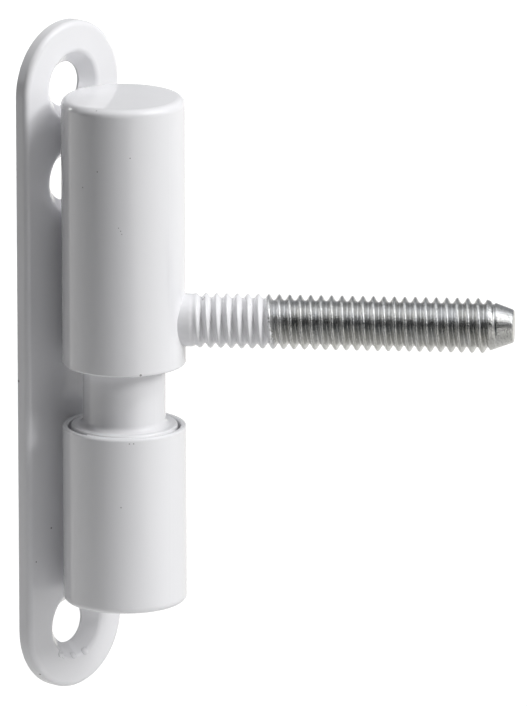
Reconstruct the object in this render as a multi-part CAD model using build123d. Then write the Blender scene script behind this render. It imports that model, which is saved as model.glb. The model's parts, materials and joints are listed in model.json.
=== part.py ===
from build123d import *
from math import radians, tan
import os

# A lift-off door hinge. The frame part is a plate with a knuckle and an upright pin.
# The door part is a longer knuckle that sits on the pin, with one threaded stud that
# screws into the edge of the door. Millimetres, +Z up.
# The origin is the middle of the plate's back face. +X points out of the plate's front,
# and the pin stands upright in front of it, half way across the plate.

# Plate
plate_height = 110.0
plate_width = 22.0
plate_thickness = 2.5
plate_front_round = 0.9
plate_back_round = 0.3

# Screw holes: one near each end, and a third below the top one
screw_hole_diameter = 7.2
countersink_diameter = 11.4
countersink_angle = 90.0
countersink_round = 1.0
end_hole_inset = 10.5
third_hole_spacing = 15.4

# Lower knuckle, closed at the bottom, with a recess and a thin lip at its rim
knuckle_diameter = 19.8
knuckle_to_plate = 0.8
knuckle_above_plate_foot = 16.5
lower_knuckle_length = 29.0
lower_floor = 5.0
lower_bottom_round = 1.0
rim_recess_depth = 2.0
lip_thickness = 0.9
lip_round = 0.35

# Weld between the plate and the lower knuckle
weld_width = 5.0
weld_inset = 3.0

# Hinge pin: shank in the lower knuckle, collar in its rim, neck, and bearing end
collar_gap = 0.45
collar_above_rim = 0.2
collar_round = 0.3
shank_inside_collar = 2.55
shank_end_round = 0.5
neck_inside_collar = 1.9
neck_root_round = 1.0
shoulder_width = 1.65
shoulder_round = 0.3
bearing_end_round = 1.0

# Thrust washer, on the shoulder between the neck and the bearing end
washer_thickness = 1.0
washer_round = 0.2
washer_clearance = 0.1

# Upper knuckle, closed at the top
knuckle_opening = 10.2
upper_knuckle_length = 44.0
upper_bore_depth = 21.5
upper_top_round = 1.3
upper_top_dome = 0.4
mouth_round = 0.4
mouth_clearance = 0.4
neck_in_mouth = 1.0
bore_end_clearance = 1.5

# Bearing bush, pressed into the upper knuckle
bush_wall = 0.95
bush_below_pin_end = 1.3
running_clearance = 0.05

# Threaded stud: a plain root in the knuckle's wall, and a shank with a ridge for each turn
# of its thread
stud_diameter = 8.8
stud_root_diameter = 8.0
stud_root_proud = 0.9
wall_under_root = 1.2
stud_reach = 62.5
thread_pitch = 1.675
thread_depth = 0.95
thread_crest = 0.3
stud_tip_length = 5.0
stud_tip_diameter = 5.2
stud_tip_round = 0.2
stud_angle = 37.0

# Radii, from the outside of the knuckles inwards
knuckle_radius = knuckle_diameter / 2
recess_radius = knuckle_radius - lip_thickness
collar_radius = recess_radius - collar_gap
shank_radius = collar_radius - shank_inside_collar
neck_radius = collar_radius - neck_inside_collar
mouth_radius = neck_radius + mouth_clearance
bearing_end_radius = neck_radius - shoulder_width
bush_inner_radius = bearing_end_radius + running_clearance
bush_outer_radius = bush_inner_radius + bush_wall
stud_radius = stud_diameter / 2
stud_root_radius = stud_root_diameter / 2

# Heights, from the bottom up, and the pin's place in front of the plate
pin_x = plate_thickness + knuckle_to_plate + knuckle_radius
bottom_z = knuckle_above_plate_foot - plate_height / 2
rim_z = bottom_z + lower_knuckle_length
shank_z = bottom_z + lower_floor
recess_z = rim_z - rim_recess_depth
mouth_z = rim_z + knuckle_opening
shoulder_z = mouth_z + neck_in_mouth
washer_top_z = shoulder_z + washer_thickness
stud_z = washer_top_z + wall_under_root + stud_root_radius
top_z = mouth_z + upper_knuckle_length
bore_end_z = mouth_z + upper_bore_depth
bearing_end_z = bore_end_z - bore_end_clearance

on_axis_start = (Align.CENTER, Align.CENTER, Align.MIN)


def turned(corners):
    """Turn a half section about the pin's axis: each corner is (radius, height, round)."""
    points = [(radius, 0, height) for radius, height, _ in corners]
    rounds = [corner_round for _, _, corner_round in corners]
    section = make_face(FilletPolyline(*points, radius=rounds, close=True))
    return Pos(pin_x, 0, 0) * revolve(section, Axis.Z)


def along_stud(shape):
    """Lay a shape that stands on the XY plane along the stud, starting on the pin's axis."""
    return Pos(pin_x, 0, stud_z) * Rot(0, 0, stud_angle) * Rot(0, 90, 0) * shape


def screw_hole_heights():
    """Heights of the three screw holes: top, third and bottom."""
    end_hole = plate_height / 2 - end_hole_inset
    return [end_hole, end_hole - third_hole_spacing, -end_hole]


def screw_hole_cutter(height):
    """One screw hole: straight through, with a cone that opens to the plate's front."""
    hole_radius = screw_hole_diameter / 2
    sink_radius = countersink_diameter / 2
    sink_depth = (sink_radius - hole_radius) / tan(radians(countersink_angle / 2))
    straight = Cylinder(hole_radius, 4 * plate_thickness)
    cone = Pos(0, 0, plate_thickness - sink_depth / 2) * Cone(hole_radius, sink_radius, sink_depth)
    return Pos(0, 0, height) * Rot(0, 90, 0) * (straight + cone)


def make_frame_plate():
    """Stamped steel plate with round ends and three countersunk screw holes."""
    outline = SlotOverall(plate_height, plate_width, rotation=90)
    plate = extrude(Plane.YZ * outline, plate_thickness)
    for height in screw_hole_heights():
        plate -= screw_hole_cutter(height)
    front = plate.faces().sort_by(Axis.X)[-1]
    sink_rims = [edge for wire in front.inner_wires() for edge in wire.edges()]
    plate = fillet(sink_rims, countersink_round)
    front = plate.faces().sort_by(Axis.X)[-1]
    plate = fillet(front.outer_wire().edges(), plate_front_round)
    back = plate.faces().sort_by(Axis.X)[0]
    return fillet(back.outer_wire().edges(), plate_back_round)


def make_lower_knuckle():
    """Knuckle of the frame part, bored for the pin's shank and recessed for its collar."""
    round_at_lip = min(lip_round, 0.45 * lip_thickness)
    return turned([
        (0, bottom_z, 0),
        (knuckle_radius, bottom_z, lower_bottom_round),
        (knuckle_radius, rim_z, round_at_lip),
        (recess_radius, rim_z, round_at_lip),
        (recess_radius, recess_z, 0),
        (shank_radius, recess_z, 0),
        (shank_radius, shank_z, 0),
        (0, shank_z, 0),
    ])


def make_weld_seam():
    """Weld that fills the gap between the plate's front and the lower knuckle."""
    length = lower_knuckle_length - 2 * weld_inset
    middle_z = rim_z - lower_knuckle_length / 2
    depth = pin_x - plate_thickness
    seam = Pos(plate_thickness + depth / 2, 0, middle_z) * Box(depth, weld_width, length)
    seam -= Pos(pin_x, 0, middle_z) * Cylinder(knuckle_radius, lower_knuckle_length)
    return seam


def make_hinge_pin():
    """Turned pin: shank, collar in the rim of the lower knuckle, neck and bearing end."""
    collar_z = rim_z + collar_above_rim
    return turned([
        (0, shank_z, 0),
        (shank_radius, shank_z, shank_end_round),
        (shank_radius, recess_z, 0),
        (collar_radius, recess_z, 0),
        (collar_radius, collar_z, collar_round),
        (neck_radius, collar_z, neck_root_round),
        (neck_radius, shoulder_z, shoulder_round),
        (bearing_end_radius, shoulder_z, 0),
        (bearing_end_radius, bearing_end_z, bearing_end_round),
        (0, bearing_end_z, 0),
    ])


def make_thrust_washer():
    """Washer on the pin's shoulder, which carries the door part and turns with it."""
    inner_radius = bearing_end_radius + washer_clearance
    return turned([
        (inner_radius, shoulder_z, washer_round),
        (neck_radius, shoulder_z, washer_round),
        (neck_radius, washer_top_z, washer_round),
        (inner_radius, washer_top_z, washer_round),
    ])


def make_bearing_bush():
    """Plain bush in the upper knuckle's bore, which turns on the pin's bearing end."""
    bush_top_z = bearing_end_z - bush_below_pin_end
    return turned([
        (bush_inner_radius, washer_top_z, 0),
        (bush_outer_radius, washer_top_z, 0),
        (bush_outer_radius, bush_top_z, 0),
        (bush_inner_radius, bush_top_z, 0),
    ])


def make_upper_knuckle():
    """Knuckle of the door part: domed top, bore for the bush, mouth for the neck."""
    dome_radius = (knuckle_radius**2 + upper_top_dome**2) / (2 * upper_top_dome)
    body = turned([
        (0, mouth_z, 0),
        (knuckle_radius, mouth_z, mouth_round),
        (knuckle_radius, top_z, 0),
        (0, top_z, 0),
    ])
    body &= Pos(pin_x, 0, top_z - dome_radius) * Sphere(dome_radius)
    top_face = body.faces().sort_by(Axis.Z)[-1]
    body = fillet(top_face.outer_wire().edges(), upper_top_round)
    body -= turned([
        (0, mouth_z, 0),
        (mouth_radius, mouth_z, 0),
        (mouth_radius, washer_top_z, 0),
        (bush_outer_radius, washer_top_z, 0),
        (bush_outer_radius, bore_end_z, 0),
        (0, bore_end_z, 0),
    ])
    mouth_face = body.faces().sort_by(Axis.Z)[0]
    body = fillet(mouth_face.inner_wires()[0].edges(), mouth_round)
    return body - stud_root(knuckle_diameter)


def stud_root(length):
    """Plain root of the stud, which starts on the pin's axis."""
    return along_stud(Cylinder(stud_root_radius, length, align=on_axis_start))


def ridged_shank(length):
    """Shank of the stud: one ridge for each turn, flat on its crest, with a groove between."""
    turns = max(1, round((length - thread_crest) / thread_pitch))
    step = (length - thread_crest) / turns
    groove_width = step - thread_crest
    corners = [(0, 0, 0), (stud_radius, 0, 0)]
    for turn in range(turns):
        groove_start = turn * step + thread_crest
        corners.append((stud_radius, 0, groove_start))
        corners.append((stud_radius - thread_depth, 0, groove_start + groove_width / 2))
        corners.append((stud_radius, 0, groove_start + groove_width))
    corners.append((stud_radius, 0, length))
    corners.append((0, 0, length))
    return revolve(make_face(Polyline(*corners, close=True)), Axis.Z)


def make_threaded_stud():
    """Stud that screws into the door: root in the knuckle's wall, shank, and cone tip."""
    root_length = knuckle_radius + stud_root_proud
    shank_end = stud_reach - stud_tip_length
    shank = ridged_shank(shank_end - root_length)
    tip = Cone(stud_radius, stud_tip_diameter / 2, stud_tip_length, align=on_axis_start)
    tip = fillet(tip.edges().sort_by(Axis.Z)[-1], stud_tip_round)
    stud = along_stud(Pos(0, 0, root_length) * shank + Pos(0, 0, shank_end) * tip)
    stud += stud_root(root_length)
    return stud - Pos(pin_x, 0, stud_z) * Cylinder(bush_outer_radius, 2 * stud_diameter)


makers = {
    "frame_plate": make_frame_plate,
    "lower_knuckle": make_lower_knuckle,
    "weld_seam": make_weld_seam,
    "hinge_pin": make_hinge_pin,
    "thrust_washer": make_thrust_washer,
    "upper_knuckle": make_upper_knuckle,
    "bearing_bush": make_bearing_bush,
    "threaded_stud": make_threaded_stud,
}

os.makedirs("parts", exist_ok=True)
for node, maker in makers.items():
    export_step(maker(), f"parts/{node}.step")
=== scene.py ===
# %% [markdown]
# # A lift-off door hinge with a screw-in stud
# The hinge is painted steel: a plate with a knuckle and an upright pin, and a second knuckle
# that sits on the pin and carries a threaded stud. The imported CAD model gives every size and
# place. This script adds what the eye needs: paint with depth and small faults, a real
# helical thread with marks from rolling, and a studio that shows gloss.

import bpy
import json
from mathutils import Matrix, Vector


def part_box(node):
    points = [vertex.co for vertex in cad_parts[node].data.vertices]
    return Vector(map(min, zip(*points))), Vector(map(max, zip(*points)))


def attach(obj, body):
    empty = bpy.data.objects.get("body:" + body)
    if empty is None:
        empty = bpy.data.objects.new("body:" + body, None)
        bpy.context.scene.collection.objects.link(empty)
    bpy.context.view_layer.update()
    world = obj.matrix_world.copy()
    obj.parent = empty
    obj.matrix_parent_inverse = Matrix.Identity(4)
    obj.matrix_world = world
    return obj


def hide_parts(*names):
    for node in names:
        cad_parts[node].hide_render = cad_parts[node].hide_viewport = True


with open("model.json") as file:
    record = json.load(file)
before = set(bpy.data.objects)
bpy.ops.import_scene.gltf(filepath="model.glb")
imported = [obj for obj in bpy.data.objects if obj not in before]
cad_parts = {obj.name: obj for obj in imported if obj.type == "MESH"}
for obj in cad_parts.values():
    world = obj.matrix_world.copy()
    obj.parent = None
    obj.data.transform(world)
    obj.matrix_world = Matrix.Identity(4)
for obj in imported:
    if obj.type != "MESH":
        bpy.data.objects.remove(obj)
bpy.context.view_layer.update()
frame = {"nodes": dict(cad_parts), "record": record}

# %% [markdown]
# ## Words used all through
# Blender works in metres, and small parts are easier to read in millimetres, so lengths are
# written as a number times `mm`. The hinge has two directions of its own: the pin's axis
# stands upright, and the stud's axis lies level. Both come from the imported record, so the
# pieces made here stay on the CAD model when a size changes there.

# %% Axes of the pin and the stud
import json
import math

import bmesh
import bpy
from mathutils import Matrix, Vector

mm = 0.001
record = frame["record"]
mounts = {mount["name"]: mount for mount in record["mounts"]}
stud_mount = mounts["door_stud"]
pin_place = Vector(record["behaviour"]["joints"][0]["pos_m"])
stud_direction = Vector(stud_mount["axis"])
stud_middle = Vector(stud_mount["pos_m"])
stud_half = stud_mount["dims"]["length_mm"] * mm / 2
stud_radius = stud_mount["dims"]["r_mm"] * mm
stud_height = stud_middle.z
stud_turn = math.atan2(stud_direction.y, stud_direction.x)
middle_reach = (stud_middle.xy - pin_place.xy).length
thread_start = middle_reach - stud_half
cone_start = middle_reach + stud_half
print("stud turned", round(math.degrees(stud_turn), 2), "degrees; thread from",
      round(thread_start / mm, 2), "to", round(cone_start / mm, 2), "mm")

# %% [markdown]
# ## The camera
# Upright edges stay upright in the photograph and the round ends barely shrink with distance,
# so it was taken from far away with a long lens. A camera could be placed by eye, but each try
# then moves several things at once. Here its direction, its distance, its lens and the point
# it looks at are separate numbers. It stands 42 degrees round from the plate's left edge
# towards its front, 14.6 degrees above the hinge and 2.5 m off.

# %% Make the camera
camera_azimuth = math.radians(42.0)
camera_elevation = math.radians(14.6)
camera_roll = math.radians(-0.15)
camera_distance = 2.5
lens_length = 793.6
aim_right = 32.1 * mm
aim_up = -0.2 * mm

level = math.cos(camera_elevation)
to_camera = Vector((math.sin(camera_azimuth) * level, -math.cos(camera_azimuth) * level,
                    math.sin(camera_elevation)))
to_right = Vector((math.cos(camera_azimuth), math.sin(camera_azimuth), 0.0))
to_top = to_camera.cross(to_right)
aim = to_right * aim_right + to_top * aim_up

camera_data = bpy.data.cameras.new("camera")
camera_data.lens = lens_length
camera_data.clip_start = 0.1
camera_data.clip_end = 100.0
camera = bpy.data.objects.new("camera", camera_data)
turn = Matrix((to_right, to_top, to_camera)).transposed().to_4x4()
camera.matrix_world = (Matrix.Translation(aim + to_camera * camera_distance) @ turn
                       @ Matrix.Rotation(camera_roll, 4, "Z"))
bpy.context.scene.collection.objects.link(camera)
bpy.context.scene.camera = camera
print("camera at", [round(value, 3) for value in camera.location])

# %% [markdown]
# ## Building shader trees
# A finish is a tree of nodes that ends in one Principled shader. Nodes can be added and joined
# one by one, as in the editor, but that takes several lines for each. Three small helpers keep
# a tree short to read: one fills a node's inputs, one adds a node, and one starts a new
# material. An input is called by its name, with _ for a space, or i0, i1, i2 by its number.

# %% Shader helpers
def set_inputs(tree, node, **inputs):
    """Give inputs their values, or link them where the value is (node, output name)."""
    for name, value in inputs.items():
        numbered = name[0] == "i" and name[1:].isdigit()
        key = int(name[1:]) if numbered else name.replace("_", " ")
        if isinstance(value, tuple) and isinstance(value[0], bpy.types.Node):
            tree.links.new(value[0].outputs[value[1]], node.inputs[key])
        else:
            node.inputs[key].default_value = value


def add_node(tree, kind, settings=None, **inputs):
    """Add a node with its settings, and fill its inputs."""
    node = tree.nodes.new(kind)
    for name, value in (settings or {}).items():
        setattr(node, name, value)
    set_inputs(tree, node, **inputs)
    return node


def new_finish(name):
    """A new material with its tree, its Principled shader and the object's coordinates."""
    material = bpy.data.materials.new(name)
    material.use_nodes = True
    tree = material.node_tree
    place = (tree.nodes.new("ShaderNodeTexCoord"), "Object")
    print("new finish", name)
    return material, tree, tree.nodes["Principled BSDF"], place


# %% [markdown]
# ## White powder coat
# Powder coat is plastic melted onto steel. It is smooth and glossy, but never flat: it dries
# with a soft wave called orange peel, a millimetre or two from crest to crest. Dust that
# lands in the wet paint leaves grey pinholes. Random dots would come in any number and in the
# wrong places, so each pinhole is a place and a radius. On a knuckle its place is an angle
# round the pin and a height.

# %% Places of the pinholes
def round_pin(radius, degrees, height):
    """A point at an angle round the pin's axis, and a height, in metres."""
    angle = math.radians(degrees)
    return (pin_place.x + radius * math.cos(angle), pin_place.y + radius * math.sin(angle),
            height)


knuckle_radius = (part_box("lower_knuckle")[1].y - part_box("lower_knuckle")[0].y) / 2
plate_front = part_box("frame_plate")[1].x
upper_pinholes = [
    (round_pin(knuckle_radius, -41, 36.7 * mm), 0.13 * mm),
    (round_pin(knuckle_radius, -72, 34.3 * mm), 0.13 * mm),
    (round_pin(knuckle_radius, -88, 31.4 * mm), 0.13 * mm),
    (round_pin(knuckle_radius, -52, 25.3 * mm), 0.10 * mm),
    (round_pin(knuckle_radius, -50, 24.8 * mm), 0.11 * mm),
    (round_pin(knuckle_radius, -49, 24.3 * mm), 0.10 * mm),
    (round_pin(knuckle_radius, -32, 1.0 * mm), 0.26 * mm),
    (round_pin(knuckle_radius - 0.4 * mm, -74, 44.3 * mm), 0.30 * mm),
]
# Spots on the lower knuckle: pinholes, and two spots of painted shade at the lip.
lower_pinholes_and_shade = [
    (round_pin(knuckle_radius, -43, -10.2 * mm), 0.13 * mm),
    (round_pin(knuckle_radius, -39, -10.2 * mm), 0.13 * mm),
    (round_pin(knuckle_radius, -51, -20.7 * mm), 0.13 * mm),
    # Painted shade, not pinholes: these two grey spots darken the gap between the lip and the
    # collar.
    (round_pin(knuckle_radius - 0.8 * mm, -104, -9.6 * mm), 0.30 * mm),
    (round_pin(knuckle_radius - 0.8 * mm, -98, -9.7 * mm), 0.26 * mm),
]
plate_pinholes = [
    ((1.74 * mm, -7.87 * mm, -51.54 * mm), 0.28 * mm),
    ((plate_front, -5.8 * mm, -27.5 * mm), 0.22 * mm),
    ((plate_front, -9.4 * mm, -32.4 * mm), 0.18 * mm),
    ((0.34 * mm, -11.0 * mm, -2.46 * mm), 0.26 * mm),
]
# The count takes in the two spots of painted shade at the lower lip.
print(len(upper_pinholes) + len(lower_pinholes_and_shade) + len(plate_pinholes), "pinholes in the paint")

# %% [markdown]
# ## A mask of spots
# Each pinhole could be a small dent in the mesh, but a dent of a quarter of a millimetre needs
# very fine faces all round it. A shader does it without any: it asks how far the point is
# from the middle of each spot, and keeps the strongest answer. The chips in the stud's paint
# use the same mask later on.

# %% Spots in a finish
soft_edge_share = 0.5


def spot_mask(tree, place, spots):
    """1 inside any of the spots and 0 outside, with a soft edge; gives a link."""
    mask = 0.0
    for centre, radius in spots:
        away = add_node(tree, "ShaderNodeVectorMath", {"operation": "DISTANCE"},
                        i0=place, i1=centre)
        inside = add_node(tree, "ShaderNodeMapRange", {"interpolation_type": "SMOOTHSTEP"},
                          Value=(away, "Value"), From_Min=soft_edge_share * radius,
                          From_Max=radius, To_Min=1.0, To_Max=0.0)
        strongest = add_node(tree, "ShaderNodeMath", {"operation": "MAXIMUM"}, i0=mask,
                             i1=(inside, "Result"))
        mask = (strongest, "Value")
    return mask


print("a spot is full out to", soft_edge_share, "of its radius")

# %% [markdown]
# ## Noise and mixed colours
# Most finishes here need the same two things: a noise, and a colour between two others. Both
# take a node with several inputs. Each gets a helper that gives back a link, ready to be used
# as the next node's input.

# %% Noise and mix helpers
def noise(tree, vector, scale, detail, roughness=0.5):
    """Cloudy noise over a vector, mostly between 0.3 and 0.7; gives a link."""
    clouds = add_node(tree, "ShaderNodeTexNoise", Vector=vector, Scale=scale, Detail=detail,
                      Roughness=roughness)
    return (clouds, "Fac")


def mix_colours(tree, share, first, second):
    """The first colour at a share of 0, the second at a share of 1; gives a link."""
    mixed = add_node(tree, "ShaderNodeMix", {"data_type": "RGBA"}, Factor=share, A=first,
                     B=second)
    return (mixed, "Result")


# %% [markdown]
# ## The coat itself
# The base colour is white with a trace of blue, and grey in the pinholes. On the lower lip two
# of the grey spots are painted shade in the gap at the collar. The wave and the spots go into
# one height for the bump, so each spot is also a dent that catches light. Roughness stays low,
# because the gloss of the coat is what shows its wave. Knuckles and plate get a material each,
# since each has its own spots.

# %% Powder coat
coat_colour = (0.86, 0.86, 0.88, 1.0)
pinhole_and_shade_colour = (0.34, 0.33, 0.33, 1.0)
coat_roughness = 0.07
coat_ior = 1.6
peel_size = 1.3 * mm


def powder_coat(name, spots):
    """Glossy white powder coat with orange peel and a few grey spots: pinholes, and painted
    shade.
    """
    material, tree, shader, place = new_finish(name)
    peel = noise(tree, place, 1 / peel_size, detail=1.5, roughness=0.45)
    pinholes_and_shade = spot_mask(tree, place, spots)
    paint = mix_colours(tree, pinholes_and_shade, coat_colour, pinhole_and_shade_colour)
    surface = add_node(tree, "ShaderNodeMath", {"operation": "SUBTRACT"}, i0=peel, i1=pinholes_and_shade)
    bump = add_node(tree, "ShaderNodeBump", Height=(surface, "Value"), Strength=0.12,
                    Distance=0.03 * mm)
    set_inputs(tree, shader, Base_Color=paint, Roughness=coat_roughness, IOR=coat_ior,
               Normal=(bump, "Normal"))
    return material


plate_coat = powder_coat("powder_coat_plate", plate_pinholes)
lower_coat = powder_coat("powder_coat_lower", lower_pinholes_and_shade)
upper_coat = powder_coat("powder_coat_upper", upper_pinholes)

# %% [markdown]
# ## Dressing the CAD pieces
# The CAD pieces come in with a plain material in their first slot. Each could be copied and
# painted as a new mesh, but its shape has to stay exactly as packed. So only the material in
# the slot changes.

# %% Dress the painted pieces
def dress(node_name, finish):
    """Give a CAD node its finish; its shape and place stay as packed."""
    node = frame["nodes"][node_name]
    node.material_slots[0].material = finish
    print(node_name, "wears", finish.name)


dress("frame_plate", plate_coat)
dress("lower_knuckle", lower_coat)
dress("upper_knuckle", upper_coat)

# %% [markdown]
# ## Rings from the lathe
# The pin and the washer are turned. The tool leaves fine rings round the axis, never quite
# even. A wave texture would make them all alike, so this is noise that is squeezed thirty
# times more along the axis than across it. It draws out into rings by itself.

# %% Lathe rings
ring_scale = (300.0, 300.0, 9000.0)


def lathe_rings(tree, place):
    """Noise stretched round the pin, as a lathe tool leaves it."""
    flat = add_node(tree, "ShaderNodeMapping", Vector=place, Scale=ring_scale)
    return noise(tree, (flat, "Vector"), 1.0, detail=3.0, roughness=0.6)


print("rings about", round(1 / ring_scale[2] / mm, 2), "mm high")

# %% [markdown]
# ## The pin
# The pin is painted with the knuckle, but its bearing end is masked off: paint there would
# wear away and bind. It stays bare turned steel. The pin could be cut in two pieces with a
# finish each, but it is one solid, and the paint simply stops at the shoulder. So one shader
# mixes both finishes by height. A plain number that goes into a colour is taken as a grey.

# %% Painted neck and bare end
shoulder_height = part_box("thrust_washer")[0].z
paint_step = 0.05 * mm
bare_roughness = 0.3


def pin_finish():
    """White paint below the shoulder, bare turned steel above it."""
    material, tree, shader, place = new_finish("pin_painted_and_bare")
    split = add_node(tree, "ShaderNodeSeparateXYZ", Vector=place)
    bare = add_node(tree, "ShaderNodeMapRange", Value=(split, "Z"),
                    From_Min=shoulder_height - paint_step, From_Max=shoulder_height,
                    To_Min=0.0, To_Max=1.0)
    rings = lathe_rings(tree, place)
    steel = add_node(tree, "ShaderNodeMapRange", Value=rings, From_Min=0.3, From_Max=0.7,
                     To_Min=0.42, To_Max=0.62)
    colour = mix_colours(tree, (bare, "Result"), coat_colour, (steel, "Result"))
    polish = add_node(tree, "ShaderNodeMapRange", Value=(bare, "Result"),
                      To_Min=coat_roughness, To_Max=bare_roughness)
    height = add_node(tree, "ShaderNodeMath", {"operation": "MULTIPLY"}, i0=rings,
                      i1=(bare, "Result"))
    bump = add_node(tree, "ShaderNodeBump", Height=(height, "Value"), Strength=0.3,
                    Distance=0.01 * mm)
    set_inputs(tree, shader, Base_Color=colour, Metallic=(bare, "Result"),
               Roughness=(polish, "Result"), IOR=coat_ior, Normal=(bump, "Normal"))
    return material


dress("hinge_pin", pin_finish())
print("the paint stops", round(shoulder_height / mm, 2), "mm above the plate's middle")

# %% [markdown]
# ## The brass washer
# The washer carries the door. Brass is soft and slides well on steel, so it is left plain. New
# brass browns unevenly in the air: a broad noise mixes a bright and a browned tone, and the
# lathe's rings go into the bump. It shows when the door part is lifted off.

# %% Brass washer
brass_bright = (0.86, 0.66, 0.34, 1.0)
brass_browned = (0.66, 0.47, 0.22, 1.0)
browning_scale = 400.0


def turned_brass():
    """Plain brass with lathe rings and slightly browned patches."""
    material, tree, shader, place = new_finish("brass_turned")
    rings = lathe_rings(tree, place)
    patches = noise(tree, place, browning_scale, detail=3.0)
    colour = mix_colours(tree, patches, brass_bright, brass_browned)
    bump = add_node(tree, "ShaderNodeBump", Height=rings, Strength=0.25, Distance=0.01 * mm)
    set_inputs(tree, shader, Base_Color=colour, Metallic=1.0, Roughness=0.28,
               Normal=(bump, "Normal"))
    return material


dress("thrust_washer", turned_brass())

# %% [markdown]
# ## The plastic bush
# The bush is moulded from a dark grey bearing plastic and pressed into the upper knuckle. A
# mould gives a fine matt grain, so one fine noise drives both its shade and its bump. It can
# only be seen from below with the door part lifted, so the finish stays simple.

# %% Plastic bush
mould_grain_scale = 4000.0


def moulded_plastic():
    """Dark grey plastic with the fine grain of its mould."""
    material, tree, shader, place = new_finish("plastic_moulded")
    grain = noise(tree, place, mould_grain_scale, detail=2.0)
    shade = add_node(tree, "ShaderNodeMapRange", Value=grain, To_Min=0.03, To_Max=0.055)
    bump = add_node(tree, "ShaderNodeBump", Height=grain, Strength=0.2, Distance=0.01 * mm)
    set_inputs(tree, shader, Base_Color=(shade, "Result"), Roughness=0.45,
               Normal=(bump, "Normal"))
    return material


dress("bearing_bush", moulded_plastic())

# %% [markdown]
# ## Making pieces
# Every new piece starts as a bmesh and ends as an object that rides on one body of the hinge,
# so that it turns with it at every pose. The object stays at the origin, with its place in its
# mesh, as the CAD pieces have it. The steps are always the same, so one helper does them.

# %% Piece helper
def add_piece(name, shape, body, finish):
    """Turn a finished bmesh into a smooth piece that rides on a body."""
    mesh = bpy.data.meshes.new(name)
    shape.to_mesh(mesh)
    shape.free()
    for face in mesh.polygons:
        face.use_smooth = True
    mesh.materials.append(finish)
    piece = bpy.data.objects.new(name, mesh)
    bpy.context.scene.collection.objects.link(piece)
    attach(piece, body)
    print(name, "has", len(mesh.polygons), "faces")
    return piece


# %% [markdown]
# ## A skin over rings
# Two of the pieces, the weld and the dried paint, are long and change their outline all along.
# Extruding would keep one outline, so they are made of many rings of points. The operator
# `bridge_loops` lays the faces between each ring and the next, and `holes_fill` closes the
# two ends.

# %% Skin helper
def closed_skin(rings):
    """Bridge rings of points, one behind the other, and close both ends."""
    print("skin over", len(rings), "rings of", len(rings[0]), "points")
    shape = bmesh.new()
    loops = []
    for ring in rings:
        verts = [shape.verts.new(point) for point in ring]
        loops.append([shape.edges.new(pair) for pair in zip(verts, verts[1:] + verts[:1])])
    for before, after in zip(loops, loops[1:]):
        bmesh.ops.bridge_loops(shape, edges=before + after)
    bmesh.ops.holes_fill(shape, edges=loops[0] + loops[-1], sides=0)
    bmesh.ops.recalc_face_normals(shape, faces=shape.faces[:])
    return shape


# %% [markdown]
# ## The weld
# The lower knuckle is welded to the plate along its back. A weld is laid drop by drop, so its
# sides are a row of small scallops, hollow in between, and its ends are round. A plain box
# with a noise on it would look like filler. The weld is as long and as wide as the seam of the
# CAD model. It starts a little inside the plate and ends inside the knuckle, so no gap shows.

# %% Size of the weld
weld_low, weld_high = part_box("weld_seam")
weld_length = weld_high.z - weld_low.z
weld_half = weld_high.y + 0.05 * mm
weld_back = plate_front - 0.2 * mm
weld_front = plate_front + 1.6 * mm
weld_thinnest = 0.1 * mm
weld_hollow = 0.3 * mm
weld_bluntness = 0.03
drop_length = 1.5 * mm
drop_height = 0.16 * mm
drop_lean = 0.5
points_per_side = 9
print("the weld is", round(weld_length / mm, 1), "mm long, in drops of",
      round(drop_length / mm, 1), "mm")

# %% [markdown]
# ## The outline of the weld
# The half width is worked out for each height: round at the ends, hollow between plate and
# knuckle, and a little wider wherever a drop sits. The drops lean, because each one is drawn
# along while it is still soft. Both sides are the same, so one side is worked out and used
# twice.

# %% Outline of the weld
def weld_side(height, from_end):
    """One side of the weld at a height: (x, half width) from the plate to the knuckle."""
    round_end = 1 - (1 - min(1.0, from_end / weld_half)) ** 2
    half = weld_half * math.sqrt(max(weld_bluntness, round_end))
    side = []
    for number in range(points_per_side):
        across = number / (points_per_side - 1)
        drops = height / drop_length + drop_lean * across * across
        drop = drop_height * (abs(math.sin(math.pi * drops)) - 0.5)
        hollow = weld_hollow * math.sin(math.pi * across)
        x = weld_back + (weld_front - weld_back) * across
        side.append((x, max(half + drop - hollow, weld_thinnest)))
    return side


def weld_ring(share):
    """Outline of the weld at a share of its height: out on one side, back on the other."""
    height = weld_low.z + weld_length * share
    side = weld_side(height, min(share, 1 - share) * weld_length)
    left = [(x, -half, height) for x, half in side]
    right = [(x, half, height) for x, half in reversed(side)]
    return left + right


middle_side = weld_side((weld_low.z + weld_high.z) / 2, weld_length / 2)
print("half way up, the weld is", round(2 * middle_side[0][1] / mm, 2), "mm wide at the plate")

# %% [markdown]
# ## Laying the weld
# The rings lie a fifth of a millimetre apart, close enough for about eight of them to draw
# each scallop. The new weld takes the place of the plain CAD one and gets the same coat as the
# knuckle, because both are sprayed together.

# %% Make the weld
weld_steps = 121
weld_rings = [weld_ring(step / weld_steps) for step in range(weld_steps + 1)]
weld = add_piece("weld_bead", closed_skin(weld_rings), "frame_part", lower_coat)
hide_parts("weld_seam")

# %% [markdown]
# ## Paint in the gap round the collar
# Wet paint runs into narrow gaps and dries there. At the front it bridges the gap between the
# pin's collar and the lip of the knuckle. The bridge sags a little in its middle, its height
# wavers, and each end runs down in a slope. Its outline is a few points, each a step out from
# the collar's side and a height over the lip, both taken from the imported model.

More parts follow.
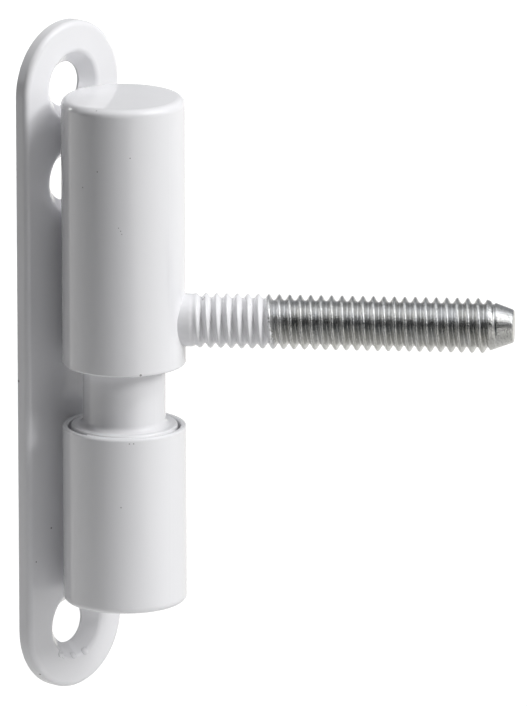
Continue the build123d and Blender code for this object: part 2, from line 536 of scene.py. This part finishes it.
# %% Size of the paint bridge
lip_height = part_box("lower_knuckle")[1].z
collar_radius = (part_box("hinge_pin")[1].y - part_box("hinge_pin")[0].y) / 2
bridge_from = -97
bridge_to = 21
bridge_slope = 7.0
bridge_drop = 0.38 * mm
bridge_waver = 0.02 * mm
waves_round = 9
bridge_bottom = -0.60 * mm
lowest_top = -0.56 * mm
bridge_sag = [(-0.05 * mm, -0.02 * mm), (0.07 * mm, -0.08 * mm), (0.25 * mm, -0.13 * mm),
              (0.43 * mm, -0.13 * mm), (0.57 * mm, -0.10 * mm)]
print("the bridge runs", bridge_to - bridge_from, "degrees round a collar of",
      round(collar_radius / mm, 2), "mm in radius")

# %% [markdown]
# ## Laying the paint bridge
# It could be spun from its outline, but a spin can't waver or slope. So it is a row of rings
# under one skin, with one ring for each degree round the pin. The helper `ease` makes the
# slopes start and end softly, and the thread uses it too.

# %% Make the paint bridge
def ease(share):
    """A share from 0 to 1 with soft ends."""
    share = min(1.0, max(0.0, share))
    return share * share * (3 - 2 * share)


def bridge_ring(degrees):
    """Outline of the bridge at an angle round the pin, from the collar out to the lip."""
    from_end = min(degrees - bridge_from, bridge_to - degrees)
    waver = bridge_waver * math.sin(math.radians(waves_round * degrees))
    drop = bridge_drop * (1 - ease(from_end / bridge_slope)) + waver
    outline = [(bridge_sag[0][0], bridge_bottom)]
    outline += [(out, max(height - drop, lowest_top)) for out, height in bridge_sag]
    outline.append((bridge_sag[-1][0], bridge_bottom))
    return [round_pin(collar_radius + out, degrees, lip_height + height)
            for out, height in outline]


bridge_rings = [bridge_ring(degrees) for degrees in range(bridge_from, bridge_to + 1)]
add_piece("paint_bridge", closed_skin(bridge_rings), "frame_part", lower_coat)

# %% [markdown]
# ## Blisters
# Oil left in the bottom screw hole boiled under the paint and raised a few blisters on its
# rim. Sculpting or a displacement would need a finer plate, and the CAD mesh stays as it is.
# So each blister is a flattened ball of its own. Blender finds the nearest spot of the plate
# and the way it faces there, and the ball is sunk into it up to its middle.

# %% Make the blisters
blister_places = [(-3.75, -4.45, 0.60), (-3.05, -5.00, 0.35), (-0.48, -5.13, 0.60),
                  (2.07, -5.08, 0.65)]
blister_flatness = 0.38
bottom_hole = mounts["frame_screws"]["dims"]["spacing_y_mm"] / -2


def lay_blisters():
    """All blisters as one bmesh; a place is across and up from the hole, with a radius."""
    shape = bmesh.new()
    plate = frame["nodes"]["frame_plate"]
    for across, up, radius in blister_places:
        near = Vector((plate_front, across * mm, (bottom_hole + up) * mm))
        _, place, outwards, _ = plate.closest_point_on_mesh(near)
        lie = outwards.to_track_quat("Z", "Y").to_matrix().to_4x4()
        flat = Matrix.Diagonal((1, 1, blister_flatness, 1))
        bmesh.ops.create_uvsphere(shape, u_segments=32, v_segments=16, radius=radius * mm,
                                  matrix=Matrix.Translation(place) @ lie @ flat)
    return shape


add_piece("paint_blisters", lay_blisters(), "frame_part", plate_coat)

# %% [markdown]
# ## The size of the thread
# A rolled thread has round crests and round valleys, because the steel is pressed between two
# ridged dies and not cut. The radius over one pitch is a straight slope from crest to valley
# with a sine taken off it, which rounds both. The pitch and the length of the cone are those
# of the CAD model. Over the crests the stud is as wide as its mount says.

# %% Radius over one pitch
thread_pitch = 1.675 * mm
thread_depth = 0.96 * mm
thread_rounding = 0.6
root_radius = 4.25 * mm
tip_length = 5.0 * mm
tip_radius = 2.6 * mm
stud_end = cone_start + tip_length


def thread_radius(share):
    """Radius at a share of one pitch: crest in the middle, valleys at the ends, all rounded."""
    from_crest = abs(2 * share - 1)
    soft = thread_rounding * math.sin(2 * math.pi * from_crest) / (2 * math.pi)
    return stud_radius - thread_depth * (from_crest - soft)


print("crest at", round(thread_radius(0.5) / mm, 2), "mm, valley at",
      round(thread_radius(0.0) / mm, 2), "mm from the stud's axis")

# %% [markdown]
# ## Winding the thread
# A screw thread is one shape carried round and along at the same time. A texture that bends
# the light would do from afar, but the thread shows against the white, so it has to be real.
# One pitch of its outline is drawn as a line of points, and `spin` turns it once while its
# `dvec` moves it one pitch along. The two ends of such a turn don't meet, so the spin merges
# nothing.

# %% One turn of thread
steps_per_turn = 64
points_per_pitch = 14


def make_one_turn(start):
    """One turn of the thread along X, with the pin's axis at zero."""
    shape = bmesh.new()
    line = [shape.verts.new((start + thread_pitch * number / points_per_pitch, 0.0,
                             thread_radius(number / points_per_pitch)))
            for number in range(points_per_pitch + 1)]
    edges = [shape.edges.new(pair) for pair in zip(line, line[1:])]
    bmesh.ops.spin(shape, geom=line + edges, cent=(0, 0, 0), axis=(1, 0, 0),
                   dvec=(thread_pitch / steps_per_turn, 0, 0), angle=2 * math.pi,
                   steps=steps_per_turn, use_merge=False, use_duplicate=False)
    print("one turn has", len(shape.faces), "faces")
    return shape


# %% [markdown]
# ## Turn after turn
# A Screw modifier could wind the whole stud, but its ends are trimmed next, and that is
# simpler on a finished mesh. So the single turn is copied along the stud, and merging the
# doubles closes the surface. The blank starts inside the knuckle and ends past the tip, so
# that both ends can be cut off clean.

# %% The whole screw
blank_start = 8.0 * mm
thread_phase = 0.60
merge_distance = 0.001 * mm


def make_screw():
    """Turns of thread one behind the other, joined into one surface."""
    start = blank_start - (2 - thread_phase) * thread_pitch
    shape = make_one_turn(start)
    first = shape.verts[:] + shape.edges[:] + shape.faces[:]
    turns = math.ceil((stud_end - start) / thread_pitch) + 1
    for number in range(1, turns):
        copy = bmesh.ops.duplicate(shape, geom=first)
        verts = [item for item in copy["geom"] if isinstance(item, bmesh.types.BMVert)]
        bmesh.ops.translate(shape, verts=verts, vec=(number * thread_pitch, 0, 0))
    bmesh.ops.remove_doubles(shape, verts=shape.verts, dist=merge_distance)
    print("screw of", turns, "turns")
    return shape


# %% [markdown]
# ## Root, paint and cone
# A real stud isn't thread from end to end. By the knuckle it is plain, and at the tip it was
# turned to a cone before the thread was rolled. The white paint also fills the first valleys.
# Each of these could be a piece of its own, but joints between them would show. So each point
# of the one screw is moved in or out to the radius that the stud has there.

# %% Radius along the stud
paint_reach = 23.7 * mm
paint_fill = 0.22
thread_lead = 0.2 * mm
thread_run_in = 2.4 * mm
tip_edge = 0.25 * mm


def stud_profile(reach, radius):
    """Radius of the stud where the bare thread would have this radius."""
    filled = paint_fill * ease((paint_reach - reach) / thread_pitch)
    radius += (stud_radius - radius) * filled
    into_thread = ease((reach - thread_start + thread_lead) / thread_run_in)
    radius = root_radius + (radius - root_radius) * into_thread
    past_cone = max(0.0, reach - cone_start) / tip_length
    cone = stud_radius - (stud_radius - tip_radius) * past_cone
    edge = max(0.0, reach - stud_end + tip_edge) / tip_edge
    return min(radius, cone) - tip_edge * (1 - math.sqrt(max(0.0, 1 - edge * edge)))


print("half way down the cone the stud is",
      round(stud_profile(stud_end - tip_length / 2, stud_radius) / mm, 2), "mm in radius")

# %% [markdown]
# ## Trimming the screw
# The blank is longer than the stud, so two planes cut its ends square, as a saw would. Then
# the points go to their radius, the two open ends are filled with one face each, and the
# normals are made to point outwards, because a cut and a fill can leave them turned.

# %% Trim and shape the stud
def shape_stud(shape):
    """Cut the ends off the screw, bring it to size, and close both ends."""
    for cut, side in ((blank_start, -1), (stud_end, 1)):
        geometry = shape.verts[:] + shape.edges[:] + shape.faces[:]
        bmesh.ops.bisect_plane(shape, geom=geometry, plane_co=(cut, 0, 0),
                               plane_no=(side, 0, 0), clear_outer=True)
    for vert in shape.verts:
        radius = math.hypot(vert.co.y, vert.co.z)
        wanted = stud_profile(vert.co.x, radius)
        vert.co.y *= wanted / radius
        vert.co.z *= wanted / radius
    open_edges = [edge for edge in shape.edges if edge.is_boundary]
    bmesh.ops.holes_fill(shape, edges=open_edges, sides=0)
    bmesh.ops.recalc_face_normals(shape, faces=shape.faces[:])
    print("two ends closed, of", len(open_edges), "edges in all")


screw = make_screw()
shape_stud(screw)
screw.transform(Matrix.Translation((pin_place.x, pin_place.y, stud_height))
                @ Matrix.Rotation(stud_turn, 4, "Z"))

# %% [markdown]
# ## Where the paint on the stud ends
# The stud is zinc plated, and only then screwed in and sprayed with the knuckle. The paint
# ends along a slanting line about 24 mm from the pin's axis, sooner on the upper side. Spray
# has no sharp end: before the line it breaks up into specks. A painted picture would do, but
# it has to be drawn by hand. Here a level that rises along the stud is taken off a noise, and
# paint is left wherever the noise stands higher.

# %% Specks of paint
speck_length = 2.6 * mm
speck_scale = 2600.0
bare_between_specks = 0.45
last_specks = 0.7 * mm


def speck_mask(tree, place, reach):
    """1 on full paint and on its specks, 0 on bare zinc."""
    speck = noise(tree, place, speck_scale, detail=2.0, roughness=0.6)
    near_edge = add_node(tree, "ShaderNodeMapRange", Value=reach,
                         From_Min=paint_reach - speck_length, From_Max=paint_reach,
                         To_Min=0.0, To_Max=bare_between_specks)
    gone = add_node(tree, "ShaderNodeMapRange", Value=reach, From_Min=paint_reach,
                    From_Max=paint_reach + last_specks, To_Min=0.0,
                    To_Max=1 - bare_between_specks)
    level = add_node(tree, "ShaderNodeMath", {"operation": "ADD"}, i0=(near_edge, "Result"),
                     i1=(gone, "Result"))
    over = add_node(tree, "ShaderNodeMath", {"operation": "SUBTRACT"}, i0=speck,
                    i1=(level, "Value"))
    return add_node(tree, "ShaderNodeMapRange", Value=(over, "Value"), From_Min=-0.06,
                    From_Max=-0.02)


print("specks over the last", round(speck_length / mm, 1), "mm of the paint")

# %% [markdown]
# ## Haze and chips
# Past the last specks a thin haze of spray lies on the zinc and fades out. Knocks have also
# chipped the paint off a few crests, down to the zinc. Wherever specks and haze overlap, the
# stronger one counts. The chips are a mask of spots like the pinholes, taken off both.

# %% Paint mask of the stud
paint_slant = 0.2
haze_length = 3.5 * mm
haze_share = 0.26
paint_chips = [
    ((24.21 * mm, 6.80 * mm, 11.82 * mm), 0.42 * mm),
    ((20.74 * mm, 6.29 * mm, 12.12 * mm), 0.25 * mm),
    ((31.07 * mm, 10.51 * mm, 11.25 * mm), 0.20 * mm),
    ((32.71 * mm, 10.39 * mm, 9.73 * mm), 0.30 * mm),
    ((26.82 * mm, 8.57 * mm, 11.88 * mm), 0.16 * mm),
    ((28.20 * mm, 9.54 * mm, 11.86 * mm), 0.16 * mm),
    ((29.39 * mm, 10.65 * mm, 11.91 * mm), 0.16 * mm),
]


def paint_mask(tree, along, place):
    """1 where the stud is painted, 0 where the zinc shows."""
    split = add_node(tree, "ShaderNodeSeparateXYZ", Vector=(along, "Vector"))
    slanted = add_node(tree, "ShaderNodeMath", {"operation": "MULTIPLY_ADD"}, i0=(split, "Z"),
                       i1=paint_slant, i2=(split, "X"))
    reach = (slanted, "Value")
    specks = speck_mask(tree, place, reach)
    haze = add_node(tree, "ShaderNodeMapRange", {"interpolation_type": "SMOOTHSTEP"},
                    Value=reach, From_Min=paint_reach, From_Max=paint_reach + haze_length,
                    To_Min=haze_share, To_Max=0.0)
    covered = add_node(tree, "ShaderNodeMath", {"operation": "MAXIMUM"},
                       i0=(specks, "Result"), i1=(haze, "Result"))
    chips = spot_mask(tree, place, paint_chips)
    return add_node(tree, "ShaderNodeMath", {"operation": "SUBTRACT", "use_clamp": True},
                    i0=(covered, "Value"), i1=chips)


print(len(paint_chips), "chips in the paint of the stud")

# %% [markdown]
# ## Marks from rolling
# The thread is rolled between two dies, which leave marks round the stud. Noise that is
# squeezed along the stud looks like them, but the stud doesn't lie along any axis of the
# world. The object could be turned, but then its pattern would slip when it is exported. So
# a Mapping node of the kind Texture turns the coordinates instead: X then runs along the
# stud, from the pin's axis.

# %% Rolled marks
mark_scale = (5200.0, 900.0, 900.0)


def stud_frame(tree, place):
    """The object's coordinates turned so that X runs along the stud from the pin's axis."""
    return add_node(tree, "ShaderNodeMapping", {"vector_type": "TEXTURE"}, Vector=place,
                    Location=(pin_place.x, pin_place.y, stud_height),
                    Rotation=(0.0, 0.0, stud_turn))


def rolled_marks(tree, along):
    """Noise stretched round the stud, as the rolling dies leave it."""
    rolled = add_node(tree, "ShaderNodeMapping", Vector=(along, "Vector"), Scale=mark_scale)
    return noise(tree, (rolled, "Vector"), 1.0, detail=4.0, roughness=0.65)


print("marks about", round(1 / mark_scale[0] / mm, 2), "mm wide")

# %% [markdown]
# ## The colour of the zinc
# Zinc from a plating bath is bright but not even. It has a warmer and a cooler tone in
# patches, and small dull grains. One flat grey would look like plastic. So a broad noise
# mixes the two tones, and the peaks of a fine noise are mixed towards a dull grey.

# %% Zinc colour
zinc_bright = (0.70, 0.71, 0.73, 1.0)
zinc_warm = (0.60, 0.59, 0.55, 1.0)
zinc_dull = (0.30, 0.30, 0.29, 1.0)
patch_scale = 330.0
grain_scale = 4200.0
dull_share = 0.6


def zinc_colour(tree, place, grains):
    """Warm and cool patches of zinc, with dull grains over them."""
    patches = noise(tree, place, patch_scale, detail=2.0)
    zinc = mix_colours(tree, patches, zinc_bright, zinc_warm)
    dull = add_node(tree, "ShaderNodeMapRange", Value=grains, From_Min=0.5, From_Max=0.68,
                    To_Min=0.0, To_Max=dull_share)
    return mix_colours(tree, (dull, "Result"), zinc, zinc_dull)


print("grains about", round(1 / grain_scale / mm, 2), "mm across")

# %% [markdown]
# ## Zinc and paint in one shader
# Two materials would need an edge of faces between them, and the paint's edge is far too
# ragged for that. So both share one shader, and the paint mask picks colour, metal and
# roughness at each point. Marks and grains go into the bump together, where the zinc is bare,
# and the marks make it more or less matt. The stud takes the place of the ringed CAD stud.

# %% Make the stud
polished_zinc = 0.10
matt_zinc = 0.28


def stud_finish():
    """Bright zinc, with white paint over the thread beside the knuckle."""
    material, tree, shader, place = new_finish("zinc_and_overspray")
    along = stud_frame(tree, place)
    painted = paint_mask(tree, along, place)
    marks = rolled_marks(tree, along)
    grains = noise(tree, place, grain_scale, detail=2.0, roughness=0.7)
    zinc = zinc_colour(tree, place, grains)
    colour = mix_colours(tree, (painted, "Value"), zinc, coat_colour)
    metal = add_node(tree, "ShaderNodeMath", {"operation": "SUBTRACT"}, i0=1.0,
                     i1=(painted, "Value"))
    matt = add_node(tree, "ShaderNodeMapRange", Value=marks, From_Min=0.3, From_Max=0.7,
                    To_Min=polished_zinc, To_Max=matt_zinc)
    rough = add_node(tree, "ShaderNodeMix", {"data_type": "FLOAT"}, Factor=(painted, "Value"),
                     A=(matt, "Result"), B=coat_roughness)
    marked = add_node(tree, "ShaderNodeMath", {"operation": "ADD"}, i0=marks, i1=grains)
    height = add_node(tree, "ShaderNodeMath", {"operation": "MULTIPLY"}, i0=(marked, "Value"),
                      i1=(metal, "Value"))
    bump = add_node(tree, "ShaderNodeBump", Height=(height, "Value"), Strength=0.85,
                    Distance=0.065 * mm)
    set_inputs(tree, shader, Base_Color=colour, Metallic=(metal, "Value"),
               Roughness=(rough, "Result"), IOR=coat_ior, Normal=(bump, "Normal"))
    return material


stud = add_piece("stud_thread", screw, "door_part", stud_finish())
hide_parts("threaded_stud")

# %% [markdown]
# ## What the eye sees of the floor
# The floor is a wide disc a little below the hinge. It takes the lamps' light and the hinge's
# shadow like any matt surface. A white floor in full light would throw that light back at the
# hinge and wash out its shadow side. So the floor is a middle grey, and it glows for the
# camera alone: less near the hinge and fully further off. The picture ends in white, and the
# hinge gets no light from the glow.

# %% Floor for the eye
floor_height = -75 * mm
floor_radius = 30.0
floor_colour = (0.42, 0.42, 0.42, 1.0)
white = (1.0, 1.0, 1.0, 1.0)
shadow_reach = 0.1
white_from = 1.2
glow_near = 0.65


def floor_for_eye(tree, place, rays):
    """Matt and grey, with a glow that only the camera sees."""
    lit = add_node(tree, "ShaderNodeBsdfDiffuse", Color=floor_colour)
    away = add_node(tree, "ShaderNodeVectorMath", {"operation": "LENGTH"}, i0=place)
    far = add_node(tree, "ShaderNodeMapRange", {"interpolation_type": "SMOOTHSTEP"},
                   Value=(away, "Value"), From_Min=shadow_reach, From_Max=white_from,
                   To_Min=glow_near, To_Max=1.0)
    shown = add_node(tree, "ShaderNodeMath", {"operation": "MULTIPLY"},
                     i0=(rays, "Is Camera Ray"), i1=(far, "Result"))
    glow = add_node(tree, "ShaderNodeEmission", Color=white, Strength=(shown, "Value"))
    return add_node(tree, "ShaderNodeAddShader", i0=(lit, "BSDF"), i1=(glow, "Emission"))


print("the floor lies", round(-floor_height / mm), "mm below the plate's middle")

# %% [markdown]
# ## What shiny metal sees of the floor
# Zinc has hardly a colour of its own. It shows what lies round it, so it needs something dark
# and something pale to mirror. In front lies the dark room where the camera stands, and behind
# and to the right a white sheet runs under the hinge. Two soft edges across the same disc draw
# that, and only mirror-like rays see it.

# %% Floor for the metal
room_colour = (0.038, 0.048, 0.056, 1.0)
sheet_colour = (1.0, 0.99, 0.96, 1.0)
room_from = 0.30
sheet_from = -0.20
right_from = 0.05
right_to = 0.2
right_share = 0.8
to_front = Vector((to_camera.x, to_camera.y, 0.0)).normalized()


def reach_along(tree, vector, direction):
    """How far a vector reaches in a direction; gives a link."""
    product = add_node(tree, "ShaderNodeVectorMath", {"operation": "DOT_PRODUCT"}, i0=vector,
                       i1=tuple(direction))
    return (product, "Value")


def floor_for_metal(tree, place):
    """Dark in front of the hinge, white behind it and nearly white to its right."""
    behind = add_node(tree, "ShaderNodeMapRange", {"interpolation_type": "SMOOTHSTEP"},
                      Value=reach_along(tree, place, to_front), From_Min=room_from,
                      From_Max=sheet_from)
    right = add_node(tree, "ShaderNodeMapRange", {"interpolation_type": "SMOOTHSTEP"},
                     Value=reach_along(tree, place, to_right), From_Min=right_from,
                     From_Max=right_to, To_Min=0.0, To_Max=right_share)
    lighter = add_node(tree, "ShaderNodeMath", {"operation": "MAXIMUM"},
                       i0=(behind, "Result"), i1=(right, "Result"))
    room = mix_colours(tree, (lighter, "Value"), room_colour, sheet_colour)
    return add_node(tree, "ShaderNodeEmission", Color=room)


print("the dark room starts", room_from, "m in front of the hinge")

# %% [markdown]
# ## Laying the floor
# Both versions meet in one material, and the kind of ray picks between them. The disc is so
# wide that it fills the picture from any angle well above it.

# %% Make the floor
def floor_finish():
    """The floor's two versions, picked by the kind of ray."""
    material = bpy.data.materials.new("floor_pale")
    material.use_nodes = True
    tree = material.node_tree
    tree.nodes.clear()
    place = (tree.nodes.new("ShaderNodeTexCoord"), "Object")
    rays = tree.nodes.new("ShaderNodeLightPath")
    seen = floor_for_eye(tree, place, rays)
    mirrored = floor_for_metal(tree, place)
    both = add_node(tree, "ShaderNodeMixShader", i0=(rays, "Is Glossy Ray"),
                    i1=(seen, "Shader"), i2=(mirrored, "Emission"))
    add_node(tree, "ShaderNodeOutputMaterial", Surface=(both, "Shader"))
    return material


floor_shape = bmesh.new()
bmesh.ops.create_circle(floor_shape, cap_ends=True, segments=96, radius=floor_radius)
bmesh.ops.translate(floor_shape, verts=floor_shape.verts, vec=(0, 0, floor_height))
floor_mesh = bpy.data.meshes.new("floor")
floor_shape.to_mesh(floor_mesh)
floor_shape.free()
floor_mesh.materials.append(floor_finish())
floor = bpy.data.objects.new("floor", floor_mesh)
bpy.context.scene.collection.objects.link(floor)
print("floor of", 2 * floor_radius, "m across")

# %% [markdown]
# ## Lamps
# White paint shows its form only by how much light each side gets, so even light from all
# round would make it flat. A strong lamp high on the right makes the bright side, with two
# more below it that reach under the rims. Two lamps low at the back left draw the thin bright
# rim on the shadow side, one behind lights the tops, and one overhead fills. Mirror-like rays
# don't see them, because a lamp mirrored in the zinc is a glaring square. What the metal
# mirrors comes from the floor and the world.

# %% Seven lamps round the hinge
lamp_distance = 1.2


def towards(azimuth, elevation):
    """Direction from the hinge; azimuth counts from the camera to the right."""
    across, up = math.radians(azimuth), math.radians(elevation)
    around = to_front * math.cos(across) + to_right * math.sin(across)
    return around * math.cos(up) + Vector((0, 0, 1)) * math.sin(up)


def flat_lamp(name, shape, power):
    """A flat lamp that mirror-like rays don't see."""
    lamp = bpy.data.objects.new(name, bpy.data.lights.new(name, "AREA"))
    lamp.data.shape = shape
    lamp.data.energy = power
    lamp.visible_glossy = False
    bpy.context.scene.collection.objects.link(lamp)
    print(name, "gives", power, "watts")
    return lamp


def add_lamp(name, azimuth, elevation, size, power):
    """A square lamp aimed at the hinge, in the direction of its azimuth and elevation."""
    lamp = flat_lamp(name, "SQUARE", power)
    away = towards(azimuth, elevation)
    lamp.data.size = size
    lamp.location = away * lamp_distance
    lamp.rotation_mode = "QUATERNION"
    lamp.rotation_quaternion = away.to_track_quat("Z", "Y")


add_lamp("key_lamp", azimuth=75, elevation=50, size=0.35, power=4.7)
add_lamp("middle_lamp", azimuth=64, elevation=30, size=0.35, power=6.9)
add_lamp("low_lamp", azimuth=70, elevation=4, size=0.6, power=1.4)
add_lamp("side_lamp", azimuth=-122, elevation=10, size=0.35, power=2.4)
add_lamp("rim_lamp", azimuth=-150, elevation=12, size=0.6, power=10.0)
add_lamp("back_lamp", azimuth=150, elevation=45, size=1.2, power=2.0)
add_lamp("top_lamp", azimuth=0, elevation=85, size=1.2, power=5.2)

# %% [markdown]
# ## Pale cards on the table
# A photographer lays pale cards beside a small object to throw light up from below. Because
# they are near, the foot of the hinge gets much more of it than the top, which no far lamp
# can do. Real cards would have to be lit first, so each is a weak lamp that lies on the table
# and isn't seen itself. A wide one lies in front of the hinge, and a small one beside the foot
# of the plate.

# %% Two cards that light from below
card_height = floor_height + 5 * mm


def lay_card(name, place, width, depth, power):
    """A rectangular lamp that lies on the table, faces up, and can't be seen itself."""
    card = flat_lamp(name, "RECTANGLE", power)
    card.data.size = width
    card.data.size_y = depth
    card.location = place
    card.rotation_euler = (math.pi, 0, math.atan2(to_right.y, to_right.x))
    card.visible_camera = False


front_place = to_front * 0.08 + Vector((0, 0, card_height))
foot_place = Vector((0.055, -0.02, card_height))
lay_card("front_card", front_place, width=0.2, depth=0.12, power=0.030)
lay_card("foot_card", foot_place, width=0.08, depth=0.08, power=0.009)

# %% [markdown]
# ## The ceiling in the metal
# The world gives no matt light. Only mirror-like rays see it, as they see the floor's second
# version. A picture of a real studio could be used, but a ramp shows better what does what. It
# runs from the horizon in front, over the top, to the horizon behind: dark at eye level, a
# bright ceiling above that, then darker again. Zinc gets its strong bands from it.

# %% Ceiling
ceiling_stops = [(0.00, 0.04), (0.12, 0.04), (0.19, 0.08), (0.25, 0.28), (0.31, 0.85),
                 (0.38, 1.22), (0.51, 1.32), (0.60, 0.90), (0.68, 0.40), (0.80, 0.25),
                 (0.90, 0.42), (1.00, 0.50)]
ceiling_tint = Vector((0.97, 0.99, 1.03))


def ceiling_light(tree, sky):
    """Brightness by the angle from the front horizon over the top; gives a link."""
    split = add_node(tree, "ShaderNodeSeparateXYZ", Vector=sky)
    angle = add_node(tree, "ShaderNodeMath", {"operation": "ARCTAN2"}, i0=(split, "Z"),
                     i1=reach_along(tree, sky, to_front))
    share = add_node(tree, "ShaderNodeMath", {"operation": "DIVIDE"}, i0=(angle, "Value"),
                     i1=math.pi)
    ramp = add_node(tree, "ShaderNodeValToRGB", Fac=(share, "Value"))
    stops = ramp.color_ramp.elements
    while len(stops) < len(ceiling_stops):
        stops.new(0.5)
    for stop, (position, brightness) in zip(stops, ceiling_stops):
        stop.position = position
        stop.color = (*(ceiling_tint * brightness), 1.0)
    return (ramp, "Color")


print("a ceiling of", len(ceiling_stops), "stops")

# %% [markdown]
# ## Two panels beside it
# The ramp is the same all the way across, so nothing in it shows where right and left are. Two
# round panels with soft edges stand at the sides, near the directions of the key lamp and the
# side lamp. Their light is mirrored where the lamps' own would be, but without a hard square.

# %% Panels
panels = [(68, 40, 10, 28, 1.8), (-122, 12, 7, 14, 4.5)]


def add_panels(tree, sky, lit):
    """Add soft round panels: azimuth, elevation, inner and outer angle, and brightness."""
    for azimuth, elevation, inner, outer, brightness in panels:
        near = reach_along(tree, sky, towards(azimuth, elevation))
        panel = add_node(tree, "ShaderNodeMapRange", {"interpolation_type": "SMOOTHSTEP"},
                         Value=near, From_Min=math.cos(math.radians(outer)),
                         From_Max=math.cos(math.radians(inner)), To_Min=0.0,
                         To_Max=brightness)
        with_panel = add_node(tree, "ShaderNodeVectorMath", {"operation": "ADD"}, i0=lit,
                              i1=(panel, "Result"))
        lit = (with_panel, "Vector")
    return lit


print("panels at", [panel[:2] for panel in panels], "degrees")

# %% [markdown]
# ## The world
# The camera sees the world only past the floor's edge. It gets plain white there, so the
# picture has the same background from every side. Mirror-like rays get the ceiling and the
# panels. All other rays get nothing, so matt light comes from the lamps and cards alone.

# %% Make the world
def make_world():
    """White for the camera, ceiling and panels for mirror-like rays, dark for all others."""
    world = bpy.data.worlds.new("studio")
    world.use_nodes = True
    tree = world.node_tree
    tree.nodes.clear()
    sky = (tree.nodes.new("ShaderNodeTexCoord"), "Generated")
    rays = tree.nodes.new("ShaderNodeLightPath")
    lit = add_panels(tree, sky, ceiling_light(tree, sky))
    colour = mix_colours(tree, (rays, "Is Camera Ray"), lit, white)
    shown = add_node(tree, "ShaderNodeMath", {"operation": "MAXIMUM"},
                     i0=(rays, "Is Glossy Ray"), i1=(rays, "Is Camera Ray"))
    light = add_node(tree, "ShaderNodeBackground", Color=colour, Strength=(shown, "Value"))
    add_node(tree, "ShaderNodeOutputWorld", Surface=(light, "Background"))
    return world


bpy.context.scene.world = make_world()
print("world", bpy.context.scene.world.name)

# %% [markdown]
# ## Colours
# The Standard view shows colours about as they are written, where the default view would grey
# the white paint.

# %% Colours
bpy.context.scene.view_settings.view_transform = "Standard"
